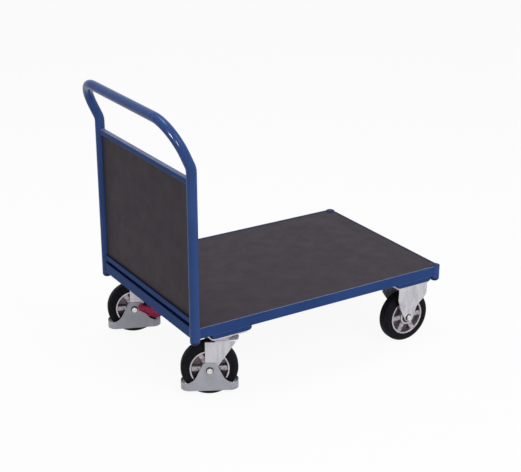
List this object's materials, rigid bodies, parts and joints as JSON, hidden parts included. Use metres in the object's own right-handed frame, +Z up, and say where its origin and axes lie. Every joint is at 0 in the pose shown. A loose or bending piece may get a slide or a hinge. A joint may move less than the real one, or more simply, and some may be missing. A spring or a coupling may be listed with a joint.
{
  "type": "platform cart",
  "caption": "Platform cart with a boarded deck and end panel, a bent tube push handle, fixed casters at the front and swivel casters with foot guards and a pedal brake at the handle.",
  "frame": {"origin": "on the floor under the middle of the deck, halfway between the corner tubes", "axes": "+X from the handle towards the front, along the deck; +Y to the left of someone pushing; +Z up"},
  "size_m": [1.1236, 0.7282, 1.021],
  "materials": {
    "frame_paint": "blue powder coat, satin",
    "plug_plastic": "matt dark blue plastic",
    "film_board": "dark brown film faced board, matt",
    "zinc_steel": "bright zinc plated pressed steel",
    "guard_steel": "matt grey zinc sheet",
    "fastener_steel": "zinc plated",
    "tyre_rubber": "matt black elastic rubber",
    "rim_alloy": "cast with a machined ring",
    "bearing_steel": "ground steel",
    "pedal_red": "crimson moulded plastic"
  },
  "bodies": {
    "chassis": {"side_rail_left": "frame_paint", "side_rail_right": "frame_paint", "end_rail_rear": "frame_paint", "end_rail_front": "frame_paint", "front_corner_tubes": "frame_paint", "caster_pan_rear": "frame_paint", "caster_pan_front": "frame_paint", "deck_bearers": "frame_paint", "handle_tube": "frame_paint", "panel_top_rail": "frame_paint", "panel_bottom_rail": "frame_paint", "panel_side_strips": "frame_paint", "corner_tube_caps": "plug_plastic", "tube_foot_plugs": "plug_plastic", "deck_board": "film_board", "end_panel": "film_board", "deck_screws": "fastener_steel", "panel_screws": "fastener_steel", "caster_bolts": "fastener_steel", "caster_nuts": "fastener_steel", "fixed_left_fork": "zinc_steel", "fixed_left_axle_sleeve": "fastener_steel", "fixed_left_axle_bolt": "fastener_steel", "fixed_left_axle_nut": "fastener_steel", "fixed_right_fork": "zinc_steel", "fixed_right_axle_sleeve": "fastener_steel", "fixed_right_axle_bolt": "fastener_steel", "fixed_right_axle_nut": "fastener_steel", "swivel_left_top_plate": "zinc_steel", "swivel_left_bearing_cup": "zinc_steel", "swivel_left_king_pin": "zinc_steel", "swivel_right_top_plate": "zinc_steel", "swivel_right_bearing_cup": "zinc_steel", "swivel_right_king_pin": "zinc_steel"},
    "swivel_left": {"swivel_left_fork": "zinc_steel", "swivel_left_foot_guard": "guard_steel", "swivel_left_axle_sleeve": "fastener_steel", "swivel_left_axle_bolt": "fastener_steel", "swivel_left_axle_nut": "fastener_steel", "brake_pedal_pin": "fastener_steel"},
    "swivel_left_wheel": {"swivel_left_tyre": "tyre_rubber", "swivel_left_rim": "rim_alloy", "swivel_left_bearings": "bearing_steel"},
    "fixed_left_wheel": {"fixed_left_tyre": "tyre_rubber", "fixed_left_rim": "rim_alloy", "fixed_left_bearings": "bearing_steel"},
    "swivel_right": {"swivel_right_fork": "zinc_steel", "swivel_right_foot_guard": "guard_steel", "swivel_right_axle_sleeve": "fastener_steel", "swivel_right_axle_bolt": "fastener_steel", "swivel_right_axle_nut": "fastener_steel"},
    "swivel_right_wheel": {"swivel_right_tyre": "tyre_rubber", "swivel_right_rim": "rim_alloy", "swivel_right_bearings": "bearing_steel"},
    "fixed_right_wheel": {"fixed_right_tyre": "tyre_rubber", "fixed_right_rim": "rim_alloy", "fixed_right_bearings": "bearing_steel"},
    "brake": {"brake_pedal": "pedal_red", "brake_bar": "fastener_steel"}
  },
  "joints": [
    {"name": "swivel_left_turn", "type": "hinge", "parent": "chassis", "child": "swivel_left", "pos_m": [-0.378, 0.293, 0.242], "axis": [0, 0, 1], "continuous": true},
    {"name": "swivel_left_wheel_spin", "type": "hinge", "parent": "swivel_left", "child": "swivel_left_wheel", "pos_m": [-0.42065, 0.31023, 0.1], "axis": [0.3746, 0.9272, 0], "continuous": true},
    {"name": "fixed_left_wheel_spin", "type": "hinge", "parent": "chassis", "child": "fixed_left_wheel", "pos_m": [0.407, 0.293, 0.1], "axis": [0, 1, 0], "continuous": true},
    {"name": "swivel_right_turn", "type": "hinge", "parent": "chassis", "child": "swivel_right", "pos_m": [-0.378, -0.293, 0.242], "axis": [0, 0, 1], "continuous": true},
    {"name": "swivel_right_wheel_spin", "type": "hinge", "parent": "swivel_right", "child": "swivel_right_wheel", "pos_m": [-0.41869, -0.27155, 0.1], "axis": [0.4664, 0.8846, 0], "continuous": true},
    {"name": "fixed_right_wheel_spin", "type": "hinge", "parent": "chassis", "child": "fixed_right_wheel", "pos_m": [0.407, -0.293, 0.1], "axis": [0, 1, 0], "continuous": true},
    {"name": "brake_press", "type": "hinge", "parent": "swivel_left", "child": "brake", "pos_m": [-0.41246, 0.26109, 0.108], "axis": [0.3746, 0.9272, 0], "range_deg": [0, 10]}
  ]
}
